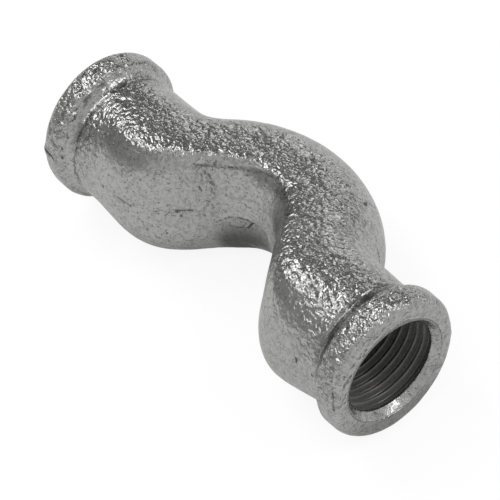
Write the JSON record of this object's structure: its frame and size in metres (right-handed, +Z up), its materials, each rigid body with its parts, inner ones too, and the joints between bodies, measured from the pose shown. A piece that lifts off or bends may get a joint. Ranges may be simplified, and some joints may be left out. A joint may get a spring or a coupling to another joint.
{
  "type": "pipe crossover fitting",
  "caption": "Hollow cast pipe fitting whose middle arches over a crossing pipe, with a banded, internally threaded socket at each end on one axis.",
  "frame": {"origin": "middle of the footprint's box, on the bench that the fitting lies on", "axes": "+X along the common axis of the two sockets, towards the right socket's mouth; +Y towards the side that the arch lies on; +Z up, with the fitting lying on its two bands and the side of its arch, its parting plane turned about X until the arch touches the bench"},
  "size_m": [0.085, 0.0388, 0.0303],
  "materials": {
    "galvanised_casting": "hot-dip galvanised rough casting, speckled grey with bright glints"
  },
  "bodies": {
    "root": {"crossover_body": "galvanised_casting"}
  },
  "joints": []
}
